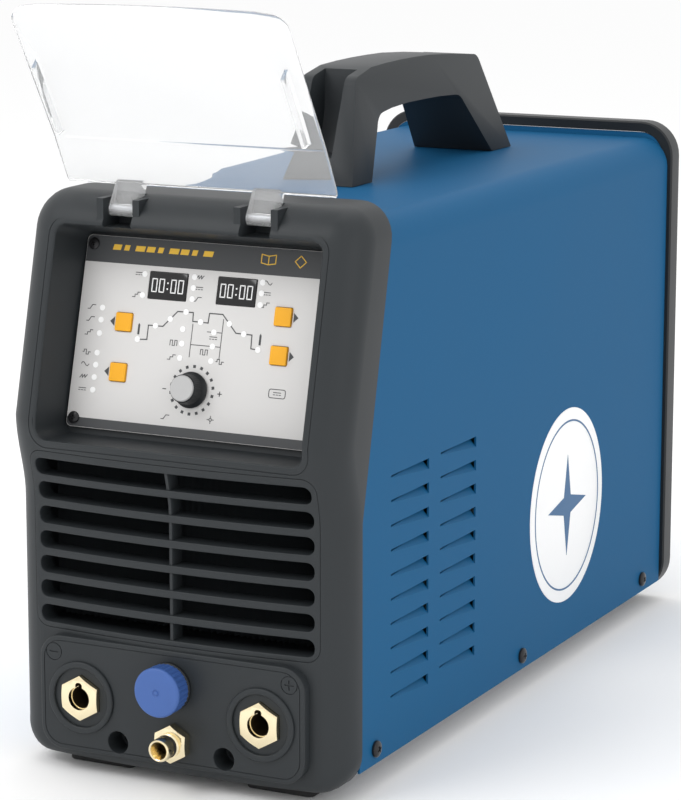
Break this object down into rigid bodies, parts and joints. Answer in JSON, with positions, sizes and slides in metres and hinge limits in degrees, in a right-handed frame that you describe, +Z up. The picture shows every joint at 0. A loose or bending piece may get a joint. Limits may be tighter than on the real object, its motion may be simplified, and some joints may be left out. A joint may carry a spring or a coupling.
{
  "type": "tig welding machine",
  "caption": "Portable inverter TIG welding machine: sheet-metal case, plastic front with control panel, clear hinged lid, cable sockets, gas outlet and carrying handle.",
  "frame": {"origin": "on the floor, below the middle of the bounding box", "axes": "+Z up, -Y out of the front, +X to the right as seen from the front"},
  "size_m": [0.206, 0.5164, 0.4214],
  "materials": {
    "bezel_plastic": "satin, fine moulded grain",
    "black_plastic": "satin",
    "blue_paint": "semi-gloss powder coat",
    "zinc_steel": "zinc plated",
    "brass": "machined, bright",
    "aluminium": "extruded",
    "panel_face": "printed membrane, satin",
    "display": "gloss window",
    "button_yellow": "satin",
    "cap_blue": "matt, finely knurled",
    "knob_grey": "satin",
    "clear_polycarbonate": "clear, polished",
    "rubber": "matt",
    "circuit_board": "solder resist",
    "copper": "enamelled copper winding",
    "black_screw": "black zinc"
  },
  "bodies": {
    "casing": {"front_bezel": "bezel_plastic", "front_grille": "bezel_plastic", "handle": "bezel_plastic", "socket_housing_minus": "black_plastic", "socket_housing_plus": "black_plastic", "control_connector": "black_plastic", "rear_frame": "black_plastic", "fan_housing": "black_plastic", "fan_guard": "black_plastic", "mains_switch": "black_plastic", "mains_cable_gland": "black_plastic", "gas_hose": "black_plastic", "cover": "blue_paint", "rear_panel": "blue_paint", "hinge_pin_left": "zinc_steel", "hinge_pin_right": "zinc_steel", "rotary_encoder": "zinc_steel", "base_chassis": "zinc_steel", "handle_screw_1": "zinc_steel", "handle_screw_2": "zinc_steel", "socket_contact_minus": "brass", "socket_contact_plus": "brass", "gas_outlet": "brass", "gas_inlet": "brass", "earth_stud": "brass", "gas_solenoid_valve": "brass", "heatsink": "aluminium", "control_panel": "panel_face", "display_left": "display", "display_right": "display", "front_foot_left": "rubber", "front_foot_right": "rubber", "rear_foot_left": "rubber", "rear_foot_right": "rubber", "control_board": "circuit_board", "inverter_board": "circuit_board", "main_transformer": "copper", "output_inductor": "copper", "panel_screw_1": "black_screw", "panel_screw_2": "black_screw", "panel_screw_3": "black_screw", "panel_screw_4": "black_screw", "bezel_screw_1": "black_screw", "bezel_screw_2": "black_screw", "cover_screw_1": "black_screw", "cover_screw_2": "black_screw", "cover_screw_3": "black_screw", "cover_screw_4": "black_screw", "cover_screw_5": "black_screw", "cover_screw_6": "black_screw"},
    "lid": {"lid": "clear_polycarbonate"},
    "button_1": {"button_1": "button_yellow"},
    "button_2": {"button_2": "button_yellow"},
    "button_3": {"button_3": "button_yellow"},
    "button_4": {"button_4": "button_yellow"},
    "knob": {"encoder_knob": "black_plastic", "knob_cap": "knob_grey"},
    "fan": {"fan_rotor": "black_plastic"},
    "rocker": {"switch_rocker": "black_plastic"},
    "dust_cap": {"dust_cap": "cap_blue"}
  },
  "joints": [
    {"name": "lid_hinge", "type": "hinge", "parent": "casing", "child": "lid", "pos_m": [0, -0.206, 0.309], "axis": [1, 0, 0], "range_deg": [0, 137.5]},
    {"name": "button_1_press", "type": "slide", "parent": "casing", "child": "button_1", "axis": [0, 0.9659, -0.2588], "range_m": [0, 0.0008], "stiffness_N_per_m": 1500},
    {"name": "button_2_press", "type": "slide", "parent": "casing", "child": "button_2", "axis": [0, 0.9659, -0.2588], "range_m": [0, 0.0008], "stiffness_N_per_m": 1500},
    {"name": "button_3_press", "type": "slide", "parent": "casing", "child": "button_3", "axis": [0, 0.9659, -0.2588], "range_m": [0, 0.0008], "stiffness_N_per_m": 1500},
    {"name": "button_4_press", "type": "slide", "parent": "casing", "child": "button_4", "axis": [0, 0.9659, -0.2588], "range_m": [0, 0.0008], "stiffness_N_per_m": 1500},
    {"name": "knob_turn", "type": "hinge", "parent": "casing", "child": "knob", "pos_m": [-0.0012, -0.20734, 0.21381], "axis": [0, -0.9659, 0.2588], "continuous": true},
    {"name": "fan_spin", "type": "hinge", "parent": "casing", "child": "fan", "pos_m": [0, 0.2276, 0.19], "axis": [0, 1, 0], "continuous": true},
    {"name": "rocker_tilt", "type": "hinge", "parent": "casing", "child": "rocker", "pos_m": [0.045, 0.2426, 0.284], "axis": [0, 0, -1], "range_deg": [0, 22]},
    {"name": "dust_cap_pull", "type": "slide", "parent": "casing", "child": "dust_cap", "axis": [0, -1, 0], "range_m": [0, 0.011]}
  ]
}
